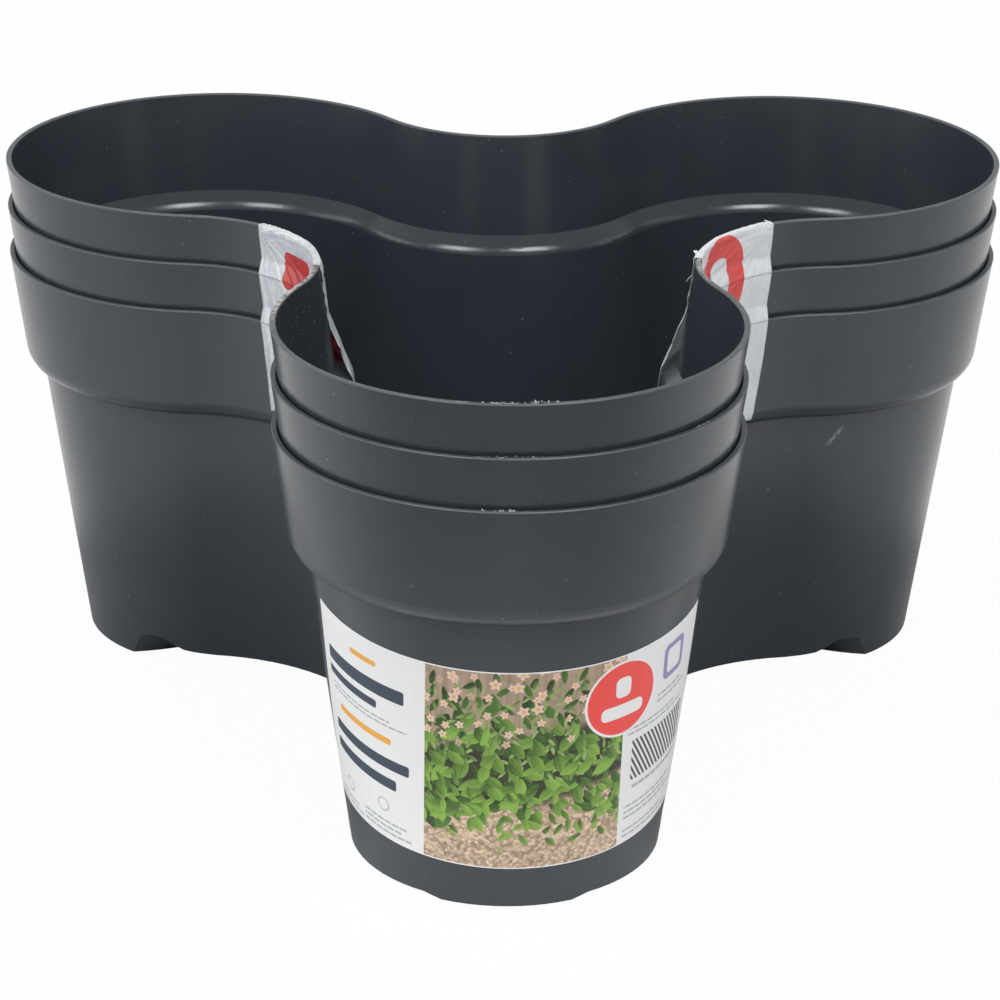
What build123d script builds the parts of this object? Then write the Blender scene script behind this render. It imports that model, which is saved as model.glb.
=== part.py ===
"""Three-lobed stacking planter: three identical moulded tiers nested in one another for sale.

A paper label is stuck to the front lobe of the bottom tier, and film tape over the two front
waists holds the nest together. The tape is slit along each rim, so that the tiers lift apart.
Units are millimetres, +Z is up, and the origin is below the middle of the nest, on the floor.
"""
import os
from math import atan2, cos, degrees, radians, sin, sqrt, tan

from build123d import *

# Plan of the rim: three lobes joined by three hollow waists, all tangent arcs
lobe_distance = 117.0
rim_lobe_radius = 74.6
waist_distance = 128.6
lobe_angles = (-90.0, 30.0, 150.0)

# Wall of one tier: depths are measured down from the rim, slopes from the upright
tier_height = 145.0
wall = 1.9
draft = 7.5
rim_chamfer = 0.35
collar_depth = 39.1
shoulder_depth = 41.0
shoulder_slope = 66.0
shoulder_radius = 7.5
shoulder_step = 1.1
ledge_depth = 35.9
ledge_slope = 54.0
ledge_radius = 4.0

# Underside: feet outside the rim of the tier below, a channel over it and a spigot inside it
floor = 1.9
flank_lift = 1.5
spigot_lift = 5.8
channel_lift = 11.0
pad_half_angle = 31.0
pad_width = 13.0
pad_slope = 76.0
foot_arc_distance = 45.2
foot_arc_radius = 62.4
foot_slope = 26.0
spigot_slope = 45.0
spigot_clearance = 0.3
brow_height = 1.2
brow_slope = 68.0
drain_radius = 5.0
drain_circle = 46.0

# Nesting: the pads of a tier stand on ribs in the feet of the tier below
nest_pitch = 17.0
rib_angle = 14.0
rib_length = 9.0
rib_thickness = 2.0

# Label: a flat rectangle wrapped round the front lobe, measured on the flat sheet
label_width = 162.0
label_height = 73.0
label_shift = 1.1
label_bottom = 14.5
label_tilt = -0.7
label_thickness = 0.2

# Tape over the rims at the front waists: angles are turned about the waists' upright axes
tape_width = 47.5
tape_thickness = 0.2
glue_gap = 0.06
tape_bridge = 5.0
tape_slit = 0.3
tape_peel_depth = 20.0
tape_inner_depth = 48.0
left_tape_middle = 25.5
left_tape_end = 33.5
right_tape_middle = 144.7
right_tape_end = 37.7

# Worked out from the sizes above
slope = tan(radians(draft))
waist_radius = (
    sqrt(waist_distance**2 + lobe_distance**2 - waist_distance * lobe_distance) - rim_lobe_radius
)
lobe_sweep = degrees(
    atan2(waist_distance * sin(radians(60)), waist_distance * cos(radians(60)) - lobe_distance)
)
waist_sweep = degrees(atan2(lobe_distance * sin(radians(60)), waist_distance - lobe_distance / 2))
axis_y = lobe_distance * (1 - sin(radians(30))) / 2
collar_inset = collar_depth * slope
body_inset = (
    collar_inset + (shoulder_depth - collar_depth) * tan(radians(shoulder_slope)) + shoulder_step
)
base_lobe_radius = rim_lobe_radius - body_inset - (tier_height - shoulder_depth) * slope
ledge_inset = wall + ledge_depth * slope
ledge_run = tan(radians(ledge_slope))
ledge_drop = (body_inset - (shoulder_depth - ledge_depth) * slope + wall - ledge_inset) / (
    ledge_run - slope
)
edge_depth = ledge_depth + ledge_drop
edge_inset = ledge_inset + ledge_drop * ledge_run
well_floor = flank_lift + floor


def on_circle(distance, angle):
    """Point of the plan, about the upright axis of the tiers."""
    return (distance * cos(radians(angle)), distance * sin(radians(angle)))


def level(height):
    """Horizontal plane centred on the upright axis of the tiers."""
    return Plane((0, axis_y, height))


def trefoil(inset, turn=0.0):
    """Edges of the rim's outline, moved in by inset."""
    with BuildLine() as outline:
        for angle in lobe_angles:
            lobe = angle + turn
            waist = lobe + 60
            CenterArc(
                on_circle(lobe_distance, lobe),
                rim_lobe_radius - inset,
                lobe - lobe_sweep,
                2 * lobe_sweep,
            )
            CenterArc(
                on_circle(waist_distance, waist),
                waist_radius + inset,
                waist + 180 + waist_sweep,
                -2 * waist_sweep,
            )
    return outline.edges()


def pad_outline(angle):
    """Edges of the ring sector that a lobe's standing pad is cut from."""
    centre = on_circle(lobe_distance, angle)
    with BuildLine() as outline:
        near = CenterArc(
            centre, base_lobe_radius - pad_width, angle - pad_half_angle, 2 * pad_half_angle
        )
        far = CenterArc(
            centre, base_lobe_radius + pad_width, angle - pad_half_angle, 2 * pad_half_angle
        )
        Line(near @ 0, far @ 0)
        Line(near @ 1, far @ 1)
    return outline.edges()


def space_under_channel(lift, shrink):
    """Space below a ceiling that follows the floor, outside the feet and the spigot.

    The ceiling is raised by lift, and the feet and the spigot are smaller by shrink.
    """
    ceiling = channel_lift + lift
    foot_height = channel_lift - flank_lift - brow_height
    foot_radius = foot_arc_radius + foot_height * tan(radians(foot_slope)) - shrink
    spigot_inset = wall + spigot_clearance + shrink
    spigot_height = channel_lift - spigot_lift - brow_height
    with BuildPart() as space:
        with BuildSketch(level(-1)):
            Circle(2 * lobe_distance)
        extrude(amount=ceiling + 1)
        with BuildSketch(level(ceiling)):
            make_face(trefoil(spigot_inset, turn=60))
        extrude(amount=-spigot_height, taper=spigot_slope, mode=Mode.SUBTRACT)
        with BuildSketch(level(ceiling - spigot_height)):
            make_face(trefoil(spigot_inset + spigot_height * tan(radians(spigot_slope)), turn=60))
        extrude(amount=-brow_height, taper=brow_slope, mode=Mode.SUBTRACT)
        for angle in lobe_angles:
            with BuildSketch(level(ceiling)):
                with Locations(on_circle(lobe_distance + foot_arc_distance, angle)):
                    Circle(foot_radius + brow_height * tan(radians(brow_slope)))
            extrude(amount=-brow_height, taper=brow_slope, mode=Mode.SUBTRACT)
            with BuildSketch(level(ceiling - brow_height)):
                with Locations(on_circle(lobe_distance + foot_arc_distance, angle)):
                    Circle(foot_radius)
            extrude(amount=-foot_height, taper=foot_slope, mode=Mode.SUBTRACT)
    return space.part


# Everything open below the tier, with the standing pads left in place
with BuildPart() as underside:
    add(space_under_channel(0, 0))
    for angle in lobe_angles:
        with BuildSketch(level(flank_lift)):
            make_face(pad_outline(angle))
        extrude(amount=-flank_lift - 1, taper=pad_slope, mode=Mode.SUBTRACT)

# Everything open inside the tier: collar, rounded ledge and body, down to the floor and its ribs
with BuildPart() as inside:
    with BuildSketch(level(tier_height)):
        make_face(trefoil(wall))
    extrude(amount=-ledge_depth, taper=draft)
    with BuildSketch(level(tier_height - ledge_depth)):
        make_face(trefoil(ledge_inset))
    extrude(amount=-ledge_drop, taper=ledge_slope)
    with BuildSketch(level(tier_height - edge_depth)):
        make_face(trefoil(edge_inset))
    extrude(amount=edge_depth + well_floor - tier_height, taper=draft)
    edge_height = tier_height - edge_depth
    fillet(
        inside.edges().filter_by_position(Axis.Z, edge_height, edge_height), radius=ledge_radius
    )
    add(space_under_channel(floor, floor), mode=Mode.SUBTRACT)
    for angle in lobe_angles:
        for turn in (angle - rib_angle, angle + rib_angle):
            lobe_x, lobe_y = on_circle(lobe_distance, angle)
            rib_x, rib_y = on_circle(base_lobe_radius, turn)
            with BuildSketch(level(nest_pitch)):
                with Locations(Location((lobe_x + rib_x, lobe_y + rib_y, 0), (0, 0, turn))):
                    Rectangle(2 * rib_length, rib_thickness)
            extrude(amount=-nest_pitch, mode=Mode.SUBTRACT)

with BuildPart() as tier:
    with BuildSketch(level(tier_height)):
        make_face(trefoil(0))
    extrude(amount=-collar_depth, taper=draft)
    with BuildSketch(level(tier_height - collar_depth)):
        make_face(trefoil(collar_inset))
    extrude(amount=collar_depth - shoulder_depth, taper=shoulder_slope)
    collar_height = tier_height - collar_depth
    fillet(
        tier.edges().filter_by_position(Axis.Z, collar_height, collar_height),
        radius=shoulder_radius,
    )
    with BuildSketch(level(tier_height - shoulder_depth)):
        make_face(trefoil(body_inset))
    extrude(amount=shoulder_depth - tier_height, taper=draft)
    add(inside.part, mode=Mode.SUBTRACT)
    add(underside.part, mode=Mode.SUBTRACT)
    with BuildSketch(level(0)):
        Circle(drain_radius)
        with PolarLocations(drain_circle, 3, start_angle=lobe_angles[0]):
            Circle(drain_radius)
    extrude(amount=2 * channel_lift, mode=Mode.SUBTRACT)
    chamfer(
        tier.edges().filter_by_position(Axis.Z, tier_height, tier_height), length=rim_chamfer
    )


def label_point(across, up):
    """Place, seen from the front, of a point of the flat label when it is wrapped on the lobe."""
    apex = base_lobe_radius / sin(radians(draft))
    middle = label_width / 2 - label_shift
    x = (across - middle) * cos(radians(label_tilt)) - up * sin(radians(label_tilt))
    y = (across - middle) * sin(radians(label_tilt)) + up * cos(radians(label_tilt))
    from_apex = sqrt(x**2 + (apex + label_bottom / cos(radians(draft)) + y) ** 2)
    turn = atan2(x, apex + label_bottom / cos(radians(draft)) + y) / sin(radians(draft))
    return (
        from_apex * sin(radians(draft)) * sin(turn),
        (from_apex - apex) * cos(radians(draft)),
    )


with BuildPart() as front_label:
    front_lobe = axis_y - lobe_distance
    cone_top = tier_height - shoulder_depth
    with BuildSketch(Plane((0, front_lobe, cone_top))):
        Circle(base_lobe_radius + cone_top * slope + glue_gap + label_thickness)
    extrude(amount=-cone_top, taper=draft)
    with BuildSketch(Plane((0, front_lobe, cone_top))):
        Circle(base_lobe_radius + cone_top * slope + glue_gap)
    extrude(amount=-cone_top, taper=draft, mode=Mode.SUBTRACT)
    with BuildSketch(Plane((0, front_lobe, 0), x_dir=(1, 0, 0), z_dir=(0, -1, 0))):
        with BuildLine():
            across = [label_width * step / 8 for step in range(9)]
            up = [label_height * step / 2 for step in range(3)]
            Spline(*[label_point(u, 0) for u in across])
            Spline(*[label_point(label_width, v) for v in up])
            Spline(*[label_point(u, label_height) for u in across])
            Spline(*[label_point(0, v) for v in up])
        make_face()
    extrude(amount=2 * rim_lobe_radius, mode=Mode.INTERSECT)


def tape_strip(waist, middle, rim_height, points):
    """Strip of film bent round a waist, from points of its wall side: inset and depth at the rim."""
    arc = degrees(tape_width / waist_radius)
    start = radians(middle - arc / 2)
    x, y = on_circle(waist_distance, waist)
    section = Plane(
        (x, axis_y + y, rim_height), x_dir=(cos(start), sin(start), 0), z_dir=(sin(start), -cos(start), 0)
    )
    with BuildPart() as strip:
        with BuildSketch(section):
            with BuildLine():
                Polyline(*[(waist_radius + inset, -depth) for inset, depth in points])
                offset(amount=tape_thickness, side=Side.LEFT, kind=Kind.INTERSECTION)
            make_face()
        revolve(axis=Axis((x, axis_y + y, 0), (0, 0, 1)), revolution_arc=arc)
    return strip.part


# Film on one collar, from the slit above the next rim up to its own rim
bridge_depth = nest_pitch - tape_bridge
collar_film = [
    (-glue_gap, nest_pitch - tape_slit),
    (bridge_depth * slope - glue_gap, bridge_depth),
    (-glue_gap, 0),
]
# Film of the top tier goes on over the rim, peels off the wall and crosses to the ledge's edge
rim_film = collar_film[:2] + [
    (-glue_gap, -glue_gap),
    (wall + glue_gap, -glue_gap),
    (wall + tape_peel_depth * slope + glue_gap, tape_peel_depth),
    (edge_inset + glue_gap, edge_depth),
    (edge_inset + (tape_inner_depth - edge_depth) * slope + glue_gap, tape_inner_depth),
]

os.makedirs("parts", exist_ok=True)
front_label.part.label = "front_label"
export_step(front_label.part, "parts/front_label.step")
for count, name in enumerate(("bottom", "middle", "top")):
    lift = count * nest_pitch
    pot = Pos(0, 0, lift) * tier.part
    pot.label = name + "_tier"
    export_step(pot, "parts/" + pot.label + ".step")
    for side, waist, middle, end in (
        ("left", 210, left_tape_middle, left_tape_end),
        ("right", -30, right_tape_middle, right_tape_end),
    ):
        end_film = [(end * slope - glue_gap, end), (-glue_gap, 0)]
        points = {"bottom": end_film, "middle": collar_film, "top": rim_film}[name]
        strip = tape_strip(waist, middle, tier_height + lift, points)
        strip.label = side + "_tape_" + name
        export_step(strip, "parts/" + strip.label + ".step")
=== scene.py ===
"""Nested tiered planter: satin moulded tiers, a paper label and film tape, in a white studio."""

from math import atan2, cos, exp, hypot, radians, sin, sqrt, tan

import bpy
from mathutils import Matrix, Vector, noise


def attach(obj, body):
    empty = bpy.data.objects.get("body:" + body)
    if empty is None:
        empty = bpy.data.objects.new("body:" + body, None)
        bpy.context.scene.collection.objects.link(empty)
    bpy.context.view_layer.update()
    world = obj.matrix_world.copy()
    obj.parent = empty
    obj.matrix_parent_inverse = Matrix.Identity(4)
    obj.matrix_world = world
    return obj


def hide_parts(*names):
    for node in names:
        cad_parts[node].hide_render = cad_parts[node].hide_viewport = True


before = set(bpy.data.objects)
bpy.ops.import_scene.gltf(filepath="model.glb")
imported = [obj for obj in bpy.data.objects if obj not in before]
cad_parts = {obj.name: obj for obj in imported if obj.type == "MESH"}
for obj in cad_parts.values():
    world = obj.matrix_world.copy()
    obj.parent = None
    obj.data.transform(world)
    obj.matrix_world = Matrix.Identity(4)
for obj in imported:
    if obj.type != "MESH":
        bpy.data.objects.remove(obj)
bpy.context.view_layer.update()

MM = 0.001

# The tiers, as they are moulded
LOBE_DISTANCE = 117.0 * MM
RIM_LOBE_RADIUS = 74.6 * MM
WAIST_DISTANCE = 128.6 * MM
AXIS_Y = 29.25 * MM
TIER_HEIGHT = 145.0 * MM
NEST_PITCH = 17.0 * MM
WALL = 1.9 * MM
DRAFT = radians(7.5)
SLOPE = tan(DRAFT)
BASE_LOBE_RADIUS = 50.35 * MM
WAIST_RADIUS = (
    sqrt(WAIST_DISTANCE**2 + LOBE_DISTANCE**2 - WAIST_DISTANCE * LOBE_DISTANCE) - RIM_LOBE_RADIUS
)
TIERS = ("bottom", "middle", "top")

# The flat label in millimetres: its size, its place on the front lobe, its cut ends, picture and disc
LABEL_WIDTH = 162.0
LABEL_HEIGHT = 73.0
LABEL_SHIFT = 1.1
LABEL_BOTTOM = 14.5
LABEL_TILT = radians(-0.7)
LABEL_ENDS = (3.0, 158.0)
END_BORDER = 0.45
LONG_BORDER = 0.4
PICTURE_LEFT = 52.5
PICTURE_RIGHT = 117.7
DISC_MIDDLE = (117.0, 57.0)
DISC_RADIUS = 13.0
DISC_BORDER = 0.9

# The label's paper: its lift off the wall, the ripple in it and its thickness
LABEL_LIFT = 0.09 * MM
LABEL_RIPPLE = 0.02 * MM
PAPER = 0.1 * MM

# Print on the flat label in millimetres, as left, right, low and high edges, the rows with their pitch
SLATE_BARS = ((8, 45, 54, 59), (8, 34, 48.5, 51.5), (10, 47, 27.5, 31.5), (10, 42, 20, 24))
AMBER_BARS = ((14, 40, 37, 39.4), (22, 34, 64, 66))
DISC_BARS = ((114.1, 119.9, 57.4, 64.8), (109.0, 125.2, 50.0, 54.9))
PRINTED_ROWS = (
    ((10, 46, 43, 46.4), 1.7),
    ((27, 48, 1.5, 7.5), 2.0),
    ((9, 26, 1.0, 5.0), 2.0),
    ((120, 150, 41, 44.5), 1.8),
    ((120, 149, 8.6, 14.9), 2.1),
    ((120, 147, 1.5, 5.7), 2.1),
    ((123, 150, 19.2, 22.4), 3.2),
    ((133, 150, 47.5, 52), 2.2),
)
HATCHED = (122.0, 152.0, 23.5, 39.0)
RING_MIDDLES = ((17.6, 9.4), (36.4, 12.7))
TILE = (135, 147, 55, 68)
TILE_HOLE = (137, 145, 57, 66)

# The tapes at the two front waists, from their outer ends over the rims to their inner ends
TAPE_WIDTH = 47.5 * MM
TAPE_GAP = 0.06 * MM
TAPE_BRIDGE = 5.0 * MM
TAPE_LAP = 0.6 * MM
TAPE_PEEL_DEPTH = 20.0 * MM
LEDGE_DEPTH = 40.0 * MM
LEDGE_INSET = 12.4 * MM
TAPE_INNER_DEPTH = 48.0 * MM
TAPES = {
    "left": {
        "waist": radians(210),
        "middle": radians(25.5),
        "end": 33.5 * MM,
        "corner": TAPE_WIDTH / 2,
        "lean": -0.012,
        "seed": 3.0,
    },
    "right": {
        "waist": radians(-30),
        "middle": radians(144.7),
        "end": 37.7 * MM,
        "corner": -TAPE_WIDTH / 2,
        "lean": 0.045,
        "seed": 11.0,
    },
}

# The film: its thickness, the height of its creases, and the wander of its edges
FILM = 0.1 * MM
FAN_CREASE = 0.4 * MM
CRUMPLE = 0.3 * MM
FRAYED_FOLD = 0.4 * MM
EDGE_WANDER = 0.4 * MM

# Tabs torn from the right tape: place across it, depth inside the rim and length, in millimetres,
# and the way they point as a rise, a lean inward and a lean aside
TORN_TABS = (
    (19.0, 0.0, 2.4, (0.8, 0.5, 0.3)),
    (22.5, 6.0, 2.6, (-0.5, 0.8, 0.25)),
    (-22.0, 0.0, 2.6, (0.3, -0.7, -0.5)),
)
TAB_WIDTH = 2.6 * MM

# Ragged moulding flash on the front rims: middles and half lengths, in degrees round the front lobe
FLASH_HEIGHT = 1.1 * MM
FLASH_INSET = 0.9 * MM
FLASH_SPAN = (radians(-15), radians(56))
FLASH = {
    "bottom": ((-3, 8), (51, 3)),
    "middle": ((0.5, 10), (51, 3)),
    "top": ((0, 13), (8, 4)),
}

# The middle of the dust inside the front lobe, by the left tape
DUSTY_SPOT = (-66 * MM, -66 * MM, 158 * MM)

# The two ends of a short scratch on the right lobe of the bottom tier
SCRATCH = ((113.3 * MM, 26.4 * MM, 92.6 * MM), (118.0 * MM, 26.7 * MM, 98.5 * MM))

# The camera that took the photograph
CAMERA_TARGET = Vector((-0.84, 29.25, 69.68)) * MM
CAMERA_DISTANCE = 1264.1 * MM
CAMERA_AZIMUTH = radians(-0.85)
CAMERA_ELEVATION = radians(22.51)
CAMERA_ROLL = radians(0.56)
CAMERA_LENS = 129.38
CAMERA_SENSOR = 36

# The white floor in metres, and where it is dim: under the nest and towards the camera
FLOOR_HALF = 6.0
UNDER_STRETCH = (0.85, 1.1, 1)
UNDER_MIDDLE = (0, 66 * MM, 0)
UNDER_REACH = 200 * MM
AHEAD_FROM = -0.28

# The lamps: place in metres, side of the square and power in watts
LAMPS = {
    "lamp_left": ((-0.9, -1.1, 1.75), 0.7, 16.5),
    "lamp_right": ((0.62, -1.1, 1.85), 0.7, 20.6),
    "panel_left": ((-1.6, 0.0, 0.55), 1.1, 6),
    "panel_right": ((1.6, 0.0, 0.55), 1.1, 2),
}


class Wire:
    """A socket among a material's nodes: arithmetic adds Math nodes, and node() adds any other."""

    def __init__(self, tree, socket=None):
        self.tree = tree
        self.socket = socket

    def node(self, kind, settings=None, inputs=None, output=0):
        """Adds a node of that type, sets it up, joins its inputs and gives back one of its outputs."""
        made = self.tree.nodes.new("ShaderNode" + kind)
        for name, value in (settings or {}).items():
            setattr(made, name, value)
        for name, value in (inputs or {}).items():
            if isinstance(value, Wire):
                self.tree.links.new(value.socket, made.inputs[name])
            else:
                made.inputs[name].default_value = value
        return Wire(self.tree, made.outputs[output])

    def maths(self, operation, *values):
        return self.node("Math", {"operation": operation}, dict(enumerate(values)))

    def __add__(self, other):
        return self.maths("ADD", self, other)

    def __sub__(self, other):
        return self.maths("SUBTRACT", self, other)

    def __rsub__(self, other):
        return self.maths("SUBTRACT", other, self)

    def __mul__(self, other):
        return self.maths("MULTIPLY", self, other)

    def __truediv__(self, other):
        return self.maths("DIVIDE", self, other)

    def __rtruediv__(self, other):
        return self.maths("DIVIDE", other, self)

    __radd__ = __add__
    __rmul__ = __mul__

    def __abs__(self):
        return self.maths("ABSOLUTE", self)

    def vector(self, operation, other, output=0):
        """Vector arithmetic on this vector and another."""
        return self.node("VectorMath", {"operation": operation}, {0: self, 1: other}, output)

    def along(self, axis):
        """One of this vector's three parts."""
        return self.node("SeparateXYZ", None, {0: self}, axis)

    def above(self, level, softness):
        """0 below that level and 1 above it, with a soft step between."""
        settings = {"interpolation_type": "SMOOTHSTEP"}
        return self.node("MapRange", settings, {0: self, 1: level - softness, 2: level + softness})

    def below(self, level, softness):
        """1 below that level and 0 above it, with a soft step between."""
        return 1 - self.above(level, softness)

    def within(self, low, high, softness):
        """1 between the two levels and 0 outside them."""
        return self.above(low, softness) * self.below(high, softness)

    def mixed(self, low, high):
        """A colour between low and high, by this factor."""
        return self.node("Mix", {"data_type": "RGBA"}, {0: self, 6: low, 7: high}, output=2)

    def noise(self, scale, detail=2.0, stretch=(1, 1, 1)):
        """Noise from 0 to 1 at that scale, on this vector."""
        place = self.vector("MULTIPLY", stretch)
        return place.node("TexNoise", None, {"Vector": place, "Scale": scale, "Detail": detail})

    def cells(self, size, output):
        """Random cells of that size, on the first two parts of this vector."""
        settings = {"voronoi_dimensions": "2D"}
        return self.node("TexVoronoi", settings, {"Vector": self, "Scale": 1 / size}, output)


def colour(red, green, blue):
    return (red, green, blue, 1)


def shaded(name, sockets, build):
    """A material whose shader has those fixed sockets, and those that build gives for its nodes."""
    material = bpy.data.materials.new(name)
    material.use_nodes = True
    tree = material.node_tree
    shader = tree.nodes["Principled BSDF"]
    for socket, value in sockets.items():
        shader.inputs[socket].default_value = value
    for socket, wire in build(Wire(tree)).items():
        tree.links.new(wire.socket, shader.inputs[socket])
    return material


def bump(height, strength, distance):
    """A Normal raised and sunk by that height."""
    return height.node("Bump", None, {"Strength": strength, "Distance": distance, "Height": height})


def near_line(place, start, end):
    """Distance of a point from the straight line between two points."""
    run = [b - a for a, b in zip(start, end)]
    arm = place.vector("SUBTRACT", start)
    share = arm.vector("DOT_PRODUCT", run, "Value") / sum(part * part for part in run)
    share = share.maths("MAXIMUM", share.maths("MINIMUM", share, 1), 0)
    foot = share.node("CombineXYZ", None, {0: share * run[0], 1: share * run[1], 2: share * run[2]})
    return arm.vector("DISTANCE", foot, "Value")


def dust(place, scale, size, share):
    """Mask of specks strewn in cells of that scale: their size, and the share of cells with one."""
    cell = {"Vector": place, "Scale": scale}
    near = place.node("TexVoronoi", None, cell, "Distance").below(size, size * 0.45)
    return near * place.node("TexVoronoi", None, cell, "Color").along("X").above(1 - share, 0.02)


def moulded_plastic(name, rim_height, scratched, marks_at_tapes):
    """Satin anthracite plastic with flow marks and dust, a rim top painted lighter by scuffs and painted
    sheen, a painted highlight on its chamfer, and a scratch or chips if asked.
    """

    def build(start):
        place = start.node("TexCoord", output="Object")
        height = place.along("Z")
        cloud = place.noise(14, 3)
        flow = place.noise(55, 3, (1, 1, 0.04))
        grain = place.noise(1300, 2)
        haze = place.noise(34, 5).above(0.5, 0.2)
        patch = place.noise(420, 3).above(0.5, 0.3)
        speck = dust(place, 95, 0.03, 0.28) + dust(place, 240, 0.09, 0.2) * haze * 0.7
        # Painted highlight: the chamfer just under the rim top is painted lighter.
        brink_highlight = height.within(rim_height - 0.4 * MM, rim_height - 0.08 * MM, 0.06 * MM)
        edge = height.above(rim_height - 0.06 * MM, 0.04 * MM)
        # The rim top is painted lighter, partly scuffs and partly painted sheen, and lighter still by the
        # tapes.
        scuffs_and_sheen = patch * 0.3 + 0.16
        if marks_at_tapes:
            flank = abs(place.along("X")).within(60 * MM, 88 * MM, 8 * MM)
            leftward = place.along("Y") - place.along("X") * 0.29
            near_tapes = flank * leftward.above(-65 * MM, 14 * MM) * place.along("Y").below(-8 * MM, 14 * MM)
            chipped = place.noise(700, 4).above(0.5, 0.1)
            scuffs_and_sheen = scuffs_and_sheen + near_tapes * (chipped * 1.4 + 0.1)
            chips = edge * near_tapes * chipped
            dusty = place.vector("DISTANCE", DUSTY_SPOT, "Value").below(26 * MM, 16 * MM)
            speck = speck + dust(place, 600, 0.18, 0.5) * dusty
        rim = edge * scuffs_and_sheen + brink_highlight * 0.35
        tone = cloud * 0.24 + flow * 0.3 + haze * 0.14 + 0.66
        paint = tone.mixed(colour(0, 0, 0), colour(0.029, 0.0375, 0.047))
        # Painted highlight and sheen: the rim's chamfer and top take this paler grey.
        paint = rim.mixed(paint, colour(0.145, 0.147, 0.146))
        if marks_at_tapes:
            paint = chips.mixed(paint, colour(0.42, 0.4, 0.36))
        paint = (speck * 0.45).mixed(paint, colour(0.3, 0.31, 0.32))
        rough = cloud * 0.08 + grain * 0.05 + 0.17
        if scratched:
            line = near_line(place, *SCRATCH)
            gouge = line.below(0.7 * MM, 0.5 * MM) * place.noise(900, 3).above(0.5, 0.12)
            paint = gouge.mixed(paint, colour(0.2, 0.2, 0.21))
        return {
            "Base Color": paint,
            "Roughness": rough + (edge + brink_highlight) * 0.25,
            "Normal": bump(grain * 0.5 + flow * 0.5 + rim * patch * 2, 0.1, 0.25 * MM),
        }

    return shaded(name, {"IOR": 1.56}, build)


def bar(across, up, box, corner=0.8):
    """Mask of a round-cornered bar on a flat sheet: left, right, low and high edges."""
    left, right, low, high = box
    side = abs(across - (left + right) / 2) - ((right - left) / 2 - corner)
    rise = abs(up - (low + high) / 2) - ((high - low) / 2 - corner)
    side = side.maths("MAXIMUM", side, 0)
    rise = rise.maths("MAXIMUM", rise, 0)
    return (side * side + rise * rise).below(corner**2, 0.12 * corner)


def small_print(across, up, box, pitch):
    """Mask of thin rows of uneven length, at that pitch."""
    left, right, low, high = box
    row = (up - low) / pitch
    number = row.maths("FLOOR", row)
    line = (row - number).within(0.3, 0.68, 0.08)
    ragged = (number * 0.618).maths("FRACT", number * 0.618) * (right - left) * 0.3
    words = across.maths("FRACT", across * 0.31 + number * 0.37).above(0.14, 0.05)
    column = across.above(left, 0.1) * (across + ragged).below(right, 0.1)
    return line * words * column * up.within(low, high, 0.05)


def leaf_layer(flat, size, breadth, greens, low, high):
    """Leaves strewn between two heights of the picture: where they are, and their colour."""
    middle = flat.cells(size, "Position")
    chance = flat.cells(size, "Color")
    arm = flat.vector("SUBTRACT", middle)
    turn = chance.along("X") * 2.4 + 0.4
    leaf = arm.node("VectorRotate", {"rotation_type": "Z_AXIS"}, {"Vector": arm, "Angle": turn})
    run = leaf.along("X") / size
    side = abs(leaf.along("Y") / size)
    edge = (1 - run * run * 2.6) * breadth
    blade = (edge - side).above(0.0, 0.02)
    sway = middle.noise(0.045, 1) * 26 - 13
    rise = middle.along("Y") + sway
    grows = rise.within(low, high, 3.0) * chance.along("Z").above(0.06, 0.02)
    rib = side.below(0.02, 0.015)
    light = chance.along("Y") * 0.7 + run * 0.4 + 0.25 - rib * 0.25
    light = light + (leaf.along("Y") / size) * 0.8
    return blade * grows.above(0.5, 0.1), light.mixed(*greens)


def blossoms(flat, size, low, high):
    """Small five-petalled blossoms between two heights of the picture, and their colour."""
    middle = flat.cells(size, "Position")
    chance = flat.cells(size, "Color")
    arm = flat.vector("SUBTRACT", middle)
    reach = arm.vector("LENGTH", (0, 0, 0), "Value") / size
    angle = arm.maths("ARCTAN2", arm.along("Y"), arm.along("X")) * 5 + chance.along("Y") * 6
    petals = (angle.maths("COSINE", angle) * 0.06 + 0.24 - reach).above(0, 0.02)
    there = chance.along("X").above(0.45, 0.02) * middle.along("Y").within(low, high, 2)
    tint = reach.above(0.09, 0.03).mixed(colour(0.75, 0.45, 0.08), colour(0.8, 0.56, 0.5))
    return petals * there, tint


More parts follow.
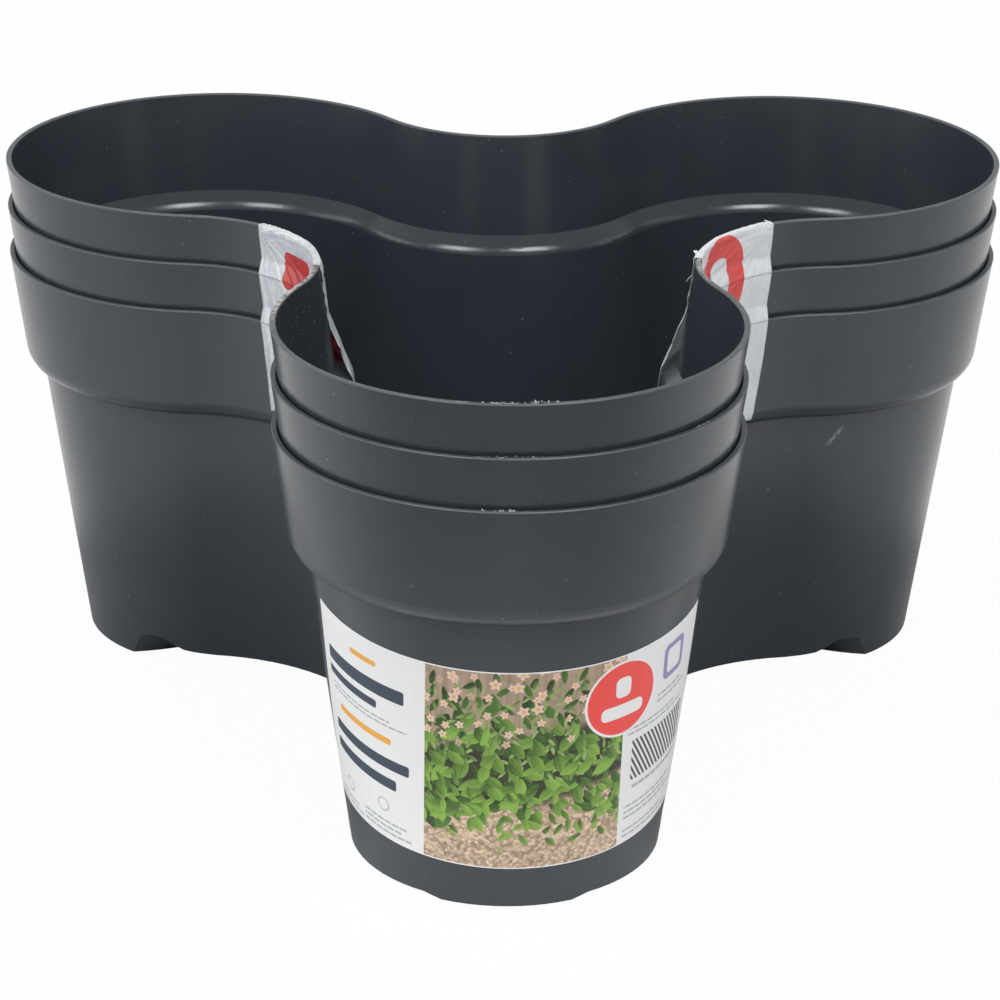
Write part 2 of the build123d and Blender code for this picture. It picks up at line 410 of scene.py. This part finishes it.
def picture(flat):
    """A bank of leaves and blossoms over pebbles, as a garden print might show."""
    across = flat.along("X")
    up = flat.along("Y")
    pale = flat.noise(0.5, 2, (1, 0.06, 1))
    scene = pale.mixed(colour(0.16, 0.12, 0.085), colour(0.62, 0.46, 0.33))
    pebble = flat.cells(1.1, "Color").along("X") * 0.8 - flat.cells(1.1, "Distance") * 0.5 + 0.4
    shade = flat.noise(0.05, 2).above(0.5, 0.16)
    sand = (pebble * (shade * 0.3 + 0.75)).mixed(colour(0.24, 0.15, 0.1), colour(0.8, 0.62, 0.45))
    bank = up + flat.noise(0.06, 2) * 10 - across * 0.16
    scene = bank.below(18, 0.5).mixed(scene, sand)
    earth = bank.within(15, 40, 2.5)
    soil = flat.noise(0.4, 3).mixed(colour(0.01, 0.012, 0.006), colour(0.06, 0.06, 0.03))
    scene = earth.mixed(scene, soil)
    deep = (colour(0.012, 0.03, 0.006), colour(0.085, 0.2, 0.03))
    fresh = (colour(0.03, 0.09, 0.012), colour(0.26, 0.46, 0.075))
    pale_green = (colour(0.08, 0.15, 0.04), colour(0.36, 0.5, 0.16))
    for size, breadth, greens, low, high in (
        (7.5, 0.26, deep, 16, 62),
        (5.2, 0.2, deep, 20, 70),
        (8.6, 0.24, fresh, 22, 56),
        (3.4, 0.16, pale_green, 34, 66),
        (6.2, 0.3, fresh, 14, 48),
        (4.4, 0.22, fresh, 8, 30),
    ):
        rise = size * 4
        shifted = flat.vector("ADD", (size * 9, rise, 0))
        mask, leaves = leaf_layer(shifted, size, breadth, greens, low + rise, high + rise)
        scene = mask.mixed(scene, leaves)
    for size, low, high in ((7.0, 56, 76), (5.0, 46, 72)):
        mask, tint = blossoms(flat.vector("ADD", (size, size, 0)), size, low + size, high + size)
        scene = mask.mixed(scene, tint)
    return scene


def printed_paper(name):
    """Smooth white label paper with a garden picture, a red disc and plain bars for its print."""

    def build(start):
        flat = start.node("UVMap", {"uv_map": "flat"})
        across = flat.along("X")
        up = flat.along("Y")
        paper = flat.noise(0.25, 2).mixed(colour(0.8, 0.81, 0.815), colour(0.845, 0.85, 0.855))
        slate = colour(0.035, 0.055, 0.085)
        grey = colour(0.3, 0.32, 0.36)
        amber = colour(0.83, 0.4, 0.06)
        for tint, boxes in ((slate, SLATE_BARS), (amber, AMBER_BARS)):
            for box in boxes:
                paper = bar(across, up, box).mixed(paper, tint)
        for box, pitch in PRINTED_ROWS:
            paper = (small_print(across, up, box, pitch) * 0.8).mixed(paper, grey)
        slant = across * 0.55 + up * 0.3
        stripes = slant.maths("FRACT", slant).above(0.5, 0.06)
        left, right, low, high = HATCHED
        block = across.within(left, right, 0.05) * up.within(low, high, 0.05)
        paper = (stripes * block).mixed(paper, colour(0.07, 0.06, 0.08))
        for x, y in RING_MIDDLES:
            ring = (across - x) * (across - x) + (up - y) * (up - y)
            paper = (ring.within(4.2, 6.6, 0.6) * 0.7).mixed(paper, grey)
        tile = bar(across, up, TILE, 2.5) * (1 - bar(across, up, TILE_HOLE, 1.6))
        paper = (tile * 0.8).mixed(paper, colour(0.16, 0.13, 0.4))
        panel = across.within(PICTURE_LEFT, PICTURE_RIGHT, 0.08)
        paper = panel.mixed(paper, picture(flat))
        off = across - DISC_MIDDLE[0]
        over = up - DISC_MIDDLE[1]
        reach = off * off + over * over
        paper = reach.below((DISC_RADIUS + DISC_BORDER) ** 2, 2).mixed(paper, colour(0.84, 0.84, 0.84))
        disc = flat.noise(0.2, 2).mixed(colour(0.86, 0.07, 0.06), colour(0.92, 0.095, 0.08))
        paper = reach.below(DISC_RADIUS**2, 2).mixed(paper, disc)
        for box in DISC_BARS:
            paper = bar(across, up, box, 2.0).mixed(paper, colour(0.86, 0.86, 0.86))
        inside = across.within(LABEL_ENDS[0] + END_BORDER, LABEL_ENDS[1] - END_BORDER, 0.1)
        inside = inside * up.within(LONG_BORDER, LABEL_HEIGHT - LONG_BORDER, 0.1)
        paper = inside.mixed(colour(0.93, 0.93, 0.93), paper)
        return {"Base Color": paper, "Roughness": flat.noise(0.6, 2) * 0.1 + 0.38}

    return shaded(name, {"IOR": 1.45}, build)


def loop_mark(across, along, box, corner, stroke):
    """Mask of a round-cornered loop of that stroke, or of a full block where the stroke fills it."""
    left, right, low, high = box
    hole = (left + stroke, right - stroke, low + stroke, high - stroke)
    mark = bar(across, along, box, corner)
    if hole[0] < hole[1]:
        mark = mark * (1 - bar(across, along, hole, corner - stroke))
    return mark


def printed_film(name, corner, stuck, inks, clear_from, marks):
    """Thin glossy white film with red marks, greyer where it sticks and clear at its inner end."""

    def build(start):
        flat = start.node("UVMap", {"uv_map": "flat"})
        across = flat.along("X")
        along = flat.along("Y")
        cloud = flat.noise(0.12, 3)
        away = across - corner
        swing = along.maths("ARCTAN2", along + 2, away)
        fan = swing.node("CombineXYZ", None, {0: swing * 8, 1: away * 0.03}).noise(1, 3)
        facet = flat.vector("ADD", flat.node("TexNoise", None, {"Vector": flat, "Scale": 0.1}, "Color"))
        facet = facet.cells(11, "Color").along("X")
        crease = abs(flat.noise(0.2, 2, (1, 0.6, 1)) - 0.5).below(0.02, 0.018) * 0.3
        loose = fan.above(0.56, 0.05) * 0.6 + facet.above(0.7, 0.02) * 0.25 + cloud * 0.2 + crease
        film = loose.maths("MINIMUM", loose, 1).mixed(stuck, colour(0.84, 0.855, 0.875))
        for mark in marks:
            ink = (loose * 0.5 + cloud * 0.4).mixed(*inks)
            film = loop_mark(across, along, *mark).mixed(film, ink)
        frayed = along.within(0.1, 2.0, 0.2) * flat.noise(1.6, 3).above(0.58, 0.06)
        film = (frayed * 0.8).mixed(film, colour(0.42, 0.37, 0.32))
        fold = fan * 0.6 + abs(flat.noise(0.22, 2, (1, 0.6, 1)) - 0.5) * 1.2
        return {
            "Base Color": film,
            "Roughness": cloud * 0.15 + 0.18,
            "Alpha": 1 - along.above(clear_from, 4) * 0.6,
            "Normal": bump(fold, 0.5, 0.7 * MM),
        }

    through = {"Subsurface Weight": 0.5, "Subsurface Radius": (1, 1, 1), "Subsurface Scale": 0.45 * MM}
    return shaded(name, {"IOR": 1.5, **through}, build)


def laid_sheet(name, body, node, material, thickness, across, along, place):
    """A thin sheet from a grid of flat points, each put at its place. It can replace a node."""
    rows = len(along)
    points = [place(u, v) for u in across for v in along]
    faces = []
    for column in range(len(across) - 1):
        for row in range(rows - 1):
            corner = column * rows + row
            faces.append((corner, corner + rows, corner + rows + 1, corner + 1))
    mesh = bpy.data.meshes.new(name)
    mesh.from_pydata(points, [], faces)
    flat = mesh.uv_layers.new(name="flat")
    for loop in mesh.loops:
        column, row = divmod(loop.vertex_index, rows)
        flat.data[loop.index].uv = (across[column] / MM, along[row] / MM)
    mesh.polygons.foreach_set("use_smooth", [True] * len(faces))
    mesh.materials.append(material)
    sheet = bpy.data.objects.new(name, mesh)
    bpy.context.scene.collection.objects.link(sheet)
    solid = sheet.modifiers.new("thickness", "SOLIDIFY")
    solid.thickness = thickness
    solid.offset = 0
    sheet.modifiers.new("flat_to_the_edge", "WEIGHTED_NORMAL")
    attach(sheet, body)
    if node:
        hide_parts(node)


def steps(start, end, count):
    """Evenly spaced values from start to end."""
    return [start + (end - start) * step / count for step in range(count + 1)]


def label_place(across, up):
    """Place of a point of the flat label, wrapped on the cone of the front lobe."""
    apex = BASE_LOBE_RADIUS / sin(DRAFT)
    offset = across - (LABEL_WIDTH / 2 - LABEL_SHIFT) * MM
    x = offset * cos(LABEL_TILT) - up * sin(LABEL_TILT)
    y = offset * sin(LABEL_TILT) + up * cos(LABEL_TILT) + apex + LABEL_BOTTOM * MM / cos(DRAFT)
    from_apex = hypot(x, y)
    turn = atan2(x, y) / sin(DRAFT)
    lift = LABEL_LIFT + LABEL_RIPPLE * noise.noise(Vector((across, up, 0)) * 55)
    outward = Vector((cos(DRAFT) * sin(turn), -cos(DRAFT) * cos(turn), -sin(DRAFT)))
    on_cone = Vector(
        (
            from_apex * sin(DRAFT) * sin(turn),
            AXIS_Y - LOBE_DISTANCE - from_apex * sin(DRAFT) * cos(turn),
            (from_apex - apex) * cos(DRAFT),
        )
    )
    return on_cone + outward * lift


def stick_label():
    """The paper label round the front lobe of the bottom tier."""
    laid_sheet(
        "paper_label",
        body="bottom",
        node="front_label",
        material=printed_paper("label_print"),
        thickness=PAPER,
        across=steps(LABEL_ENDS[0] * MM, LABEL_ENDS[1] * MM, 104),
        along=steps(0, LABEL_HEIGHT * MM, 48),
        place=label_place,
    )


def rim_level(count):
    """Height of the rim of a nested tier, counted from the bottom one."""
    return TIER_HEIGHT + count * NEST_PITCH


def waist_middle(tape):
    """The axis, at floor level, of the round waist that a tape crosses."""
    waist = tape["waist"]
    return Vector((WAIST_DISTANCE * cos(waist), AXIS_Y + WAIST_DISTANCE * sin(waist), 0))


def film_path(tier, end):
    """The film's way over one tier, as inset and depth at its rim, from its lowest outer point."""
    bridge = NEST_PITCH - TAPE_BRIDGE
    skin = -TAPE_GAP - FILM / 2
    over = skin - 1.3 * FILM
    collar = [
        (TAPE_LAP * SLOPE + over, NEST_PITCH + TAPE_LAP),
        (over, NEST_PITCH),
        (bridge * SLOPE + skin, bridge),
        (skin, 0),
    ]
    inner = [
        (skin, skin),
        (WALL - skin, skin),
        (WALL + TAPE_PEEL_DEPTH * SLOPE - skin, TAPE_PEEL_DEPTH),
        (LEDGE_INSET - skin, LEDGE_DEPTH),
        (LEDGE_INSET + (TAPE_INNER_DEPTH - LEDGE_DEPTH) * SLOPE - skin, TAPE_INNER_DEPTH),
    ]
    ways = {"bottom": [(end * SLOPE + skin, end), (skin, 0)], "middle": collar, "top": collar[:3] + inner}
    return ways[tier]


def walk(path, distance):
    """Point of a path at that distance from its start, and the way along it there."""
    for (x0, y0), (x1, y1) in zip(path, path[1:]):
        length = hypot(x1 - x0, y1 - y0)
        if distance <= length or (x1, y1) == path[-1]:
            share = distance / length
            return x0 + (x1 - x0) * share, y0 + (y1 - y0) * share, (x1 - x0) / length, (y1 - y0) / length
        distance -= length


def stick_tape(side, count, tier, material):
    """The strip of a tape that stays on one tier, creased and slightly crumpled."""
    tape = TAPES[side]
    path = film_path(tier, tape["end"])
    length = sum(hypot(x1 - x0, y1 - y0) for (x0, y0), (x1, y1) in zip(path, path[1:]))
    rim = rim_level(count)
    start = -NEST_PITCH * (len(TIERS) - 1 - count) - path[0][1]
    axis = waist_middle(tape)
    seed = tape["seed"]

    def place(across, along):
        inset, depth, out, down = walk(path, along - start)
        edge = min(along - start, length - (along - start))
        calm = 1 - exp(-edge / (1.5 * MM))
        away = across - tape["corner"]
        swing = atan2(along + 2 * MM, away)
        fan = 1 - 4 * abs(noise.noise(Vector((swing * 8, hypot(away, along) * 14, seed))))
        fold = 1 - 4 * abs(noise.noise(Vector((across * 55, along * 34, seed + 5))))
        crest = exp(-(((along - WALL / 2) / (1.6 * MM)) ** 2))
        lift = (FAN_CREASE * max(fan, 0) + CRUMPLE * max(fold, 0)) * calm * (1 - 0.85 * crest)
        if abs(along - WALL / 2) < 1.2 * MM:
            lift += max(noise.noise(Vector((across * 300, 0, seed))), 0) * FRAYED_FOLD
        drift = noise.noise(Vector((across * 20, along * 90, seed))) * EDGE_WANDER
        drift += tape["lean"] * max(-along - NEST_PITCH, 0)
        angle = tape["middle"] + (across + drift) / WAIST_RADIUS
        radius = WAIST_RADIUS + inset + lift * down
        height = rim - depth + lift * out
        return Vector((radius * cos(angle), radius * sin(angle), height)) + axis

    laid_sheet(
        side + "_film_" + tier,
        body=tier,
        node=side + "_tape_" + tier,
        material=material,
        thickness=FILM,
        across=steps(-TAPE_WIDTH / 2, TAPE_WIDTH / 2, 80),
        along=steps(start, start + length, round(1.6 * length / MM)),
        place=place,
    )


def tear_tab(number, tab, material):
    """A small tab torn loose at the right tape's fold, narrowing and drooping to its tip."""
    across, depth, length, (rise, inward, aside) = tab
    tape = TAPES["right"]
    angle = tape["middle"] + across * MM / WAIST_RADIUS
    facing = Vector((cos(angle), sin(angle), 0))
    up = Vector((0, 0, 1))
    way = (up * rise + facing * inward + up.cross(facing) * aside).normalized()
    side = way.cross(facing).normalized()
    root = waist_middle(tape)
    root += facing * (WAIST_RADIUS + WALL + depth * MM * SLOPE)
    root += up * (rim_level(len(TIERS) - 1) - depth * MM)

    def place(flat_across, flat_along):
        share = flat_along / (length * MM)
        droop = up * (0.35 * flat_along * share)
        breadth = side * ((flat_across - across * MM) * (1 - 0.8 * share))
        return root + way * flat_along - droop + breadth

    laid_sheet(
        "right_film_tab_" + str(number),
        body=TIERS[-1],
        node=None,
        material=material,
        thickness=FILM,
        across=steps(across * MM - TAB_WIDTH / 2, across * MM + TAB_WIDTH / 2, 4),
        along=steps(0, length * MM, 6),
        place=place,
    )


def trim_rim(count, tier, material):
    """Ragged moulding flash along the front of a tier's rim."""
    rim = rim_level(count)
    points = []
    faces = []
    for step, turn in enumerate(steps(*FLASH_SPAN, 560)):
        tooth = abs(noise.noise(Vector((turn * 70, count * 7.3, 0))))
        tooth += 0.7 * abs(noise.noise(Vector((turn * 380, 3, count))))
        patch = sum(max(1 - (turn / radians(half) - middle / half) ** 2, 0) for middle, half in FLASH[tier])
        tall = FLASH_HEIGHT * tooth * patch
        for inset, lift in ((FLASH_INSET, -0.1 * MM), (FLASH_INSET + 0.35 * tall, tall)):
            reach = RIM_LOBE_RADIUS - inset
            points.append((reach * sin(turn), AXIS_Y - LOBE_DISTANCE - reach * cos(turn), rim + lift))
        if step:
            faces.append((2 * step - 2, 2 * step, 2 * step + 1, 2 * step - 1))
    mesh = bpy.data.meshes.new(tier + "_rim_flash")
    mesh.from_pydata(points, [], faces)
    mesh.materials.append(material)
    flash = bpy.data.objects.new(tier + "_rim_flash", mesh)
    bpy.context.scene.collection.objects.link(flash)
    fin = flash.modifiers.new("thickness", "SOLIDIFY")
    fin.thickness = 0.15 * MM
    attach(flash, tier)


def flash_plastic():
    """The thin torn edge of the moulding: dark plastic with painted glints."""

    def build(start):
        place = start.node("TexCoord", output="Object")
        torn = place.noise(500, 3)
        # Painted glints: where the noise is high, the flash is painted near white.
        return {
            "Base Color": torn.above(0.55, 0.07).mixed(colour(0.05, 0.055, 0.06), colour(0.4, 0.4, 0.39)),
            "Roughness": torn * 0.2 + 0.15,
        }

    return shaded("torn_plastic_painted_glints", {"IOR": 1.5}, build)


def place_camera():
    """The camera at the photograph's angle, aimed by its fitted distance, height and roll."""
    back = Vector(
        (
            sin(CAMERA_AZIMUTH) * cos(CAMERA_ELEVATION),
            -cos(CAMERA_AZIMUTH) * cos(CAMERA_ELEVATION),
            sin(CAMERA_ELEVATION),
        )
    )
    right = Vector((0, 0, 1)).cross(back).normalized()
    turned = Matrix.Rotation(-CAMERA_ROLL, 3, -back) @ Matrix((right, back.cross(right), back)).transposed()
    camera = bpy.data.objects.new("camera", bpy.data.cameras.new("camera"))
    camera.data.lens = CAMERA_LENS
    camera.data.sensor_width = CAMERA_SENSOR
    camera.matrix_world = Matrix.Translation(CAMERA_TARGET + back * CAMERA_DISTANCE) @ turned.to_4x4()
    bpy.context.scene.collection.objects.link(camera)
    bpy.context.scene.camera = camera


def lay_floor():
    """A white floor that fills the view, and looks dim to the plastic under the nest and ahead of it."""
    half = FLOOR_HALF
    corners = [(-half, -half, 0), (half, -half, 0), (half, half, 0), (-half, half, 0)]
    mesh = bpy.data.meshes.new("floor")
    mesh.from_pydata(corners, [], [(0, 1, 2, 3)])
    floor = bpy.data.objects.new("floor", mesh)
    bpy.context.scene.collection.objects.link(floor)
    material = bpy.data.materials.new("studio_white")
    material.use_nodes = True
    tree = material.node_tree
    paper = tree.nodes["Principled BSDF"]
    paper.inputs["Roughness"].default_value = 0.9
    start = Wire(tree)
    place = start.node("TexCoord", output="Object")
    aside = abs(place.along("X"))
    ahead = place.along("Y") - aside.maths("MINIMUM", aside, 0.15) * 0.6
    ahead = ahead.below(AHEAD_FROM, 0.14)
    under = place.vector("MULTIPLY", UNDER_STRETCH).vector("DISTANCE", UNDER_MIDDLE, "Value")
    under = under.below(UNDER_REACH, 30 * MM)
    dim = ahead.maths("MAXIMUM", ahead, under * 0.85)
    tone = dim.mixed(colour(0.85, 0.85, 0.85), colour(0.4, 0.4, 0.4))
    tree.links.new(tone.socket, paper.inputs["Base Color"])
    mirrored = start.node("LightPath", output="Is Glossy Ray")
    mirrored = mirrored.maths("MAXIMUM", mirrored, start.node("LightPath", output="Is Transmission Ray"))
    mirrored = mirrored * (1 - under) * (1 - ahead) * 0.86
    seen = mirrored.maths("MAXIMUM", mirrored, start.node("LightPath", output="Is Camera Ray") * 0.97)
    white = start.node("Emission", None, {"Color": colour(1, 1, 1), "Strength": 1.0})
    shown = start.node("MixShader", None, {0: seen, 1: Wire(tree, paper.outputs[0]), 2: white})
    tree.links.new(shown.socket, tree.nodes["Material Output"].inputs["Surface"])
    mesh.materials.append(material)


def light_studio():
    """A white room, bright low at the back and dim overhead, with soft lamps in front and at the sides."""
    world = bpy.data.worlds.new("studio")
    bpy.context.scene.world = world
    world.use_nodes = True
    tree = world.node_tree
    way = Wire(tree).node("TexCoord", output="Generated")
    back = way.along("Y").node("MapRange", None, {0: way.along("Y"), 1: -0.7, 2: 0.5, 3: 0.5, 4: 1.0})
    overhead = way.along("Z").above(0.55, 0.4)
    rightward = way.along("X").above(0.4, 0.3)
    room = back * (1 - overhead * 0.5) * (1 - rightward * 0.18)
    tree.links.new(room.socket, tree.nodes["Background"].inputs["Strength"])
    tree.nodes["Background"].inputs["Color"].default_value = colour(1, 1, 1)
    for name, (place, size, power) in LAMPS.items():
        lamp = bpy.data.lights.new(name, "AREA")
        lamp.energy = power
        lamp.size = size
        holder = bpy.data.objects.new(name, lamp)
        holder.location = place
        holder.rotation_mode = "QUATERNION"
        holder.rotation_quaternion = (-Vector(place)).to_track_quat("-Z", "Y")
        bpy.context.scene.collection.objects.link(holder)


place_camera()
lay_floor()
light_studio()
torn = flash_plastic()
# Both tapes are one film: the left copy's stuck film and inks are painted darker than the right's, as
# painted shade.
films = {
    "left": printed_film(
        "left_tape_print",
        corner=24,
        stuck=colour(0.48, 0.53, 0.585),
        inks=(colour(0.36, 0.014, 0.016), colour(0.62, 0.03, 0.035)),
        clear_from=44,
        marks=(((-4.5, 12.5, -19.0, -6.0), 2.5, 9), ((-8.5, 14.5, 29.0, 46.0), 3.0, 12)),
    ),
    "right": printed_film(
        "right_tape_print",
        corner=-24,
        stuck=colour(0.7, 0.755, 0.81),
        inks=(colour(0.6, 0.035, 0.035), colour(0.92, 0.085, 0.075)),
        clear_from=46,
        marks=(((-12.0, 14.0, -33.0, 1.0), 12.0, 8),),
    ),
}
for count, tier in enumerate(TIERS):
    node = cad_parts[tier + "_tier"]
    node.data.materials.clear()
    node.data.materials.append(
        moulded_plastic(
            tier + "_plastic",
            rim_level(count),
            scratched=tier == "bottom",
            marks_at_tapes=tier == "top",
        )
    )
    trim_rim(count, tier, torn)
    for side in TAPES:
        stick_tape(side, count, tier, films[side])
for number, tab in enumerate(TORN_TABS, 1):
    tear_tab(number, tab, films["right"])
stick_label()

bpy.context.scene.view_settings.view_transform = "Standard"
